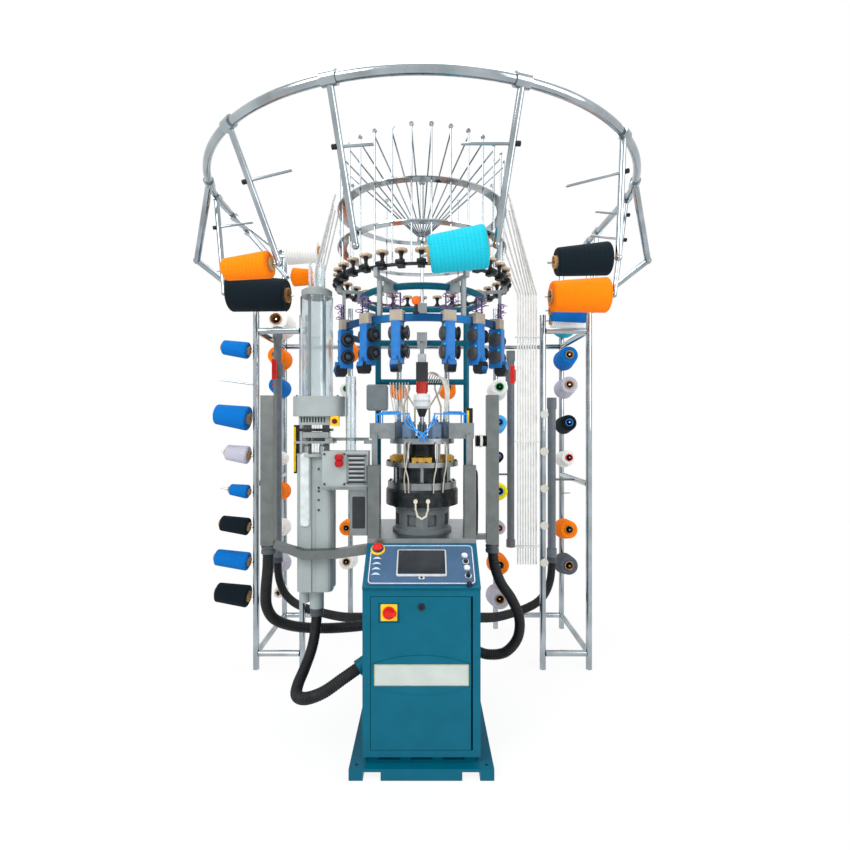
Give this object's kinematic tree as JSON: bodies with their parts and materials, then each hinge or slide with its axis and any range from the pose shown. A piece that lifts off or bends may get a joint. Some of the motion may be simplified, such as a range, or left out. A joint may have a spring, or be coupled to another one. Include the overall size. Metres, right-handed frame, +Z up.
{
  "type": "circular sock knitting machine",
  "caption": "Single-cylinder sock knitting machine on a pedestal cabinet, with yarn feeder rings, a sock turner and a tube creel with an overhead hoop of yarn packages.",
  "frame": {"origin": "floor, on the knitting axis and centred between the sled's anchor holes", "axes": "+X to the operator's right, +Y to the back, +Z up"},
  "size_m": [2.5069, 1.9432, 2.64],
  "materials": {
    "teal_paint": "semi-gloss powder coat",
    "zinc_plate": "zinc plated",
    "console_foil": "matt foil",
    "screen_frame": "silver moulding",
    "machined_steel": "turned and ground",
    "satin_aluminium": "satin anodised",
    "cast_grey": "painted casting",
    "black_oxide": "black oxide",
    "brass": "milled",
    "slate_moulding": "moulded",
    "dark_moulding": "moulded",
    "blue_tube": "extruded tube",
    "cream_tube": "extruded tube",
    "zinc_casting": "bead blasted",
    "blue_anodised": "anodised",
    "feeder_blue": "moulded",
    "black_moulding": "moulded",
    "tan_ceramic": "matt",
    "chrome": "polished plating",
    "white_tube": "extruded tube",
    "yarn": "wound yarn",
    "grey_paint": "satin paint",
    "clear_acrylic": "clear",
    "grey_pvc": "extruded pipe",
    "hose_black": "ribbed hose",
    "red_plastic": "moulded",
    "white_plastic": "moulded"
  },
  "bodies": {
    "machine": {"base_sled": "teal_paint", "cabinet_shell": "teal_paint", "electrical_plate": "zinc_plate", "console_panel": "console_foil", "touch_screen": "screen_frame", "machine_bed": "machined_steel", "side_columns": "satin_aluminium", "cylinder_drum": "cast_grey", "cam_housing": "black_oxide", "cam_plates": "machined_steel", "cam_blocks": "brass", "actuator_blocks": "slate_moulding", "selector_boxes": "dark_moulding", "air_lines": "blue_tube", "cable_loops": "cream_tube", "tube_frame": "teal_paint", "frame_clamps": "zinc_casting", "feeder_ring": "blue_anodised", "feeder_bodies": "feeder_blue", "brake_ring": "black_moulding", "tension_discs": "tan_ceramic", "yarn_guides": "chrome", "yarn_tubes": "white_tube", "creel_frame": "chrome", "hoop": "chrome", "hoop_arms": "chrome", "yarn_packages": "yarn", "turner_column": "grey_paint", "turner_housing": "grey_paint", "turner_tube": "clear_acrylic", "suction_ducts": "satin_aluminium", "plastic_pipes": "grey_pvc", "hose_turner": "hose_black", "hose_left": "hose_black", "hose_right": "hose_black", "hose_back_left": "hose_black", "hose_back_right": "hose_black"},
    "cabinet_door_body": {"cabinet_door": "teal_paint"},
    "main_switch_body": {"main_switch": "red_plastic"},
    "door_lock_body": {"door_lock": "black_moulding"},
    "emergency_stop_body": {"emergency_stop": "red_plastic"},
    "start_button_body": {"start_button": "white_plastic"},
    "stop_button_body": {"stop_button": "black_moulding"},
    "aux_button_body": {"aux_button": "white_plastic"},
    "key_switch_body": {"key_switch": "black_moulding"},
    "needle_cylinder_body": {"needle_cylinder": "black_oxide"},
    "dial_head_body": {"dial_head": "grey_paint"},
    "dial_body": {"dial": "chrome"},
    "feeder_wheel_1_body": {"feeder_wheel_1": "black_moulding"},
    "feeder_wheel_2_body": {"feeder_wheel_2": "black_moulding"},
    "feeder_wheel_3_body": {"feeder_wheel_3": "black_moulding"},
    "feeder_wheel_4_body": {"feeder_wheel_4": "black_moulding"},
    "feeder_wheel_5_body": {"feeder_wheel_5": "black_moulding"},
    "feeder_wheel_6_body": {"feeder_wheel_6": "black_moulding"},
    "feeder_wheel_7_body": {"feeder_wheel_7": "black_moulding"},
    "feeder_wheel_8_body": {"feeder_wheel_8": "black_moulding"},
    "feeder_wheel_9_body": {"feeder_wheel_9": "black_moulding"},
    "feeder_wheel_10_body": {"feeder_wheel_10": "black_moulding"},
    "feeder_wheel_11_body": {"feeder_wheel_11": "black_moulding"},
    "feeder_wheel_12_body": {"feeder_wheel_12": "black_moulding"}
  },
  "joints": [
    {"name": "door_swing", "type": "hinge", "parent": "machine", "child": "cabinet_door_body", "pos_m": [0.191, -0.361, 0.4085], "axis": [0, 0, 1], "range_deg": [0, 90]},
    {"name": "main_switch_turn", "type": "hinge", "parent": "cabinet_door_body", "child": "main_switch_body", "pos_m": [-0.13, -0.37, 0.65], "axis": [0, 1, 0], "range_deg": [0, 90]},
    {"name": "lock_turn", "type": "hinge", "parent": "cabinet_door_body", "child": "door_lock_body", "pos_m": [0, -0.37, 0.674], "axis": [0, 1, 0], "range_deg": [0, 90]},
    {"name": "emergency_press", "type": "slide", "parent": "machine", "child": "emergency_stop_body", "axis": [0, 0.5833, -0.8123], "range_m": [0, 0.005]},
    {"name": "start_press", "type": "slide", "parent": "machine", "child": "start_button_body", "axis": [0, 0.5833, -0.8123], "range_m": [0, 0.003], "stiffness_N_per_m": 400},
    {"name": "stop_press", "type": "slide", "parent": "machine", "child": "stop_button_body", "axis": [0, 0.5833, -0.8123], "range_m": [0, 0.003], "stiffness_N_per_m": 400},
    {"name": "aux_press", "type": "slide", "parent": "machine", "child": "aux_button_body", "axis": [0, 0.5833, -0.8123], "range_m": [0, 0.003], "stiffness_N_per_m": 400},
    {"name": "key_turn", "type": "hinge", "parent": "machine", "child": "key_switch_body", "pos_m": [0.189, -0.34243, 0.79073], "axis": [0, -0.5833, 0.8123], "range_deg": [0, 90]},
    {"name": "cylinder_spin", "type": "hinge", "parent": "machine", "child": "needle_cylinder_body", "pos_m": [0, 0, 1.2], "axis": [0, 0, 1], "continuous": true},
    {"name": "head_lift", "type": "slide", "parent": "machine", "child": "dial_head_body", "axis": [0, 0, 1], "range_m": [0, 0.04]},
    {"name": "dial_spin", "type": "hinge", "parent": "dial_head_body", "child": "dial_body", "pos_m": [0, 0, 1.35], "axis": [0, 0, 1], "continuous": true},
    {"name": "wheel_1_spin", "type": "hinge", "parent": "machine", "child": "feeder_wheel_1_body", "pos_m": [-0.33533, -0.15637, 1.769], "axis": [0.4226, -0.9063, 0], "continuous": true},
    {"name": "wheel_2_spin", "type": "hinge", "parent": "machine", "child": "feeder_wheel_2_body", "pos_m": [-0.33533, -0.15637, 1.695], "axis": [0.4226, -0.9063, 0], "continuous": true},
    {"name": "wheel_3_spin", "type": "hinge", "parent": "machine", "child": "feeder_wheel_3_body", "pos_m": [-0.22267, -0.2955, 1.769], "axis": [0.7986, -0.6018, 0], "continuous": true},
    {"name": "wheel_4_spin", "type": "hinge", "parent": "machine", "child": "feeder_wheel_4_body", "pos_m": [-0.22267, -0.2955, 1.695], "axis": [0.7986, -0.6018, 0], "continuous": true},
    {"name": "wheel_5_spin", "type": "hinge", "parent": "machine", "child": "feeder_wheel_5_body", "pos_m": [-0.09576, -0.35739, 1.769], "axis": [0.9659, -0.2588, 0], "continuous": true},
    {"name": "wheel_6_spin", "type": "hinge", "parent": "machine", "child": "feeder_wheel_6_body", "pos_m": [-0.09576, -0.35739, 1.695], "axis": [0.9659, -0.2588, 0], "continuous": true},
    {"name": "wheel_7_spin", "type": "hinge", "parent": "machine", "child": "feeder_wheel_7_body", "pos_m": [0.10818, -0.35383, 1.769], "axis": [0.9563, 0.2924, 0], "continuous": true},
    {"name": "wheel_8_spin", "type": "hinge", "parent": "machine", "child": "feeder_wheel_8_body", "pos_m": [0.10818, -0.35383, 1.695], "axis": [0.9563, 0.2924, 0], "continuous": true},
    {"name": "wheel_9_spin", "type": "hinge", "parent": "machine", "child": "feeder_wheel_9_body", "pos_m": [0.22779, -0.29156, 1.769], "axis": [0.788, 0.6157, 0], "continuous": true},
    {"name": "wheel_10_spin", "type": "hinge", "parent": "machine", "child": "feeder_wheel_10_body", "pos_m": [0.22779, -0.29156, 1.695], "axis": [0.788, 0.6157, 0], "continuous": true},
    {"name": "wheel_11_spin", "type": "hinge", "parent": "machine", "child": "feeder_wheel_11_body", "pos_m": [0.32669, -0.1737, 1.769], "axis": [0.4695, 0.8829, 0], "continuous": true},
    {"name": "wheel_12_spin", "type": "hinge", "parent": "machine", "child": "feeder_wheel_12_body", "pos_m": [0.32669, -0.1737, 1.695], "axis": [0.4695, 0.8829, 0], "continuous": true}
  ],
  "couplings": [
    {"joint": "dial_spin", "follows": "cylinder_spin", "ratio": 1}
  ]
}
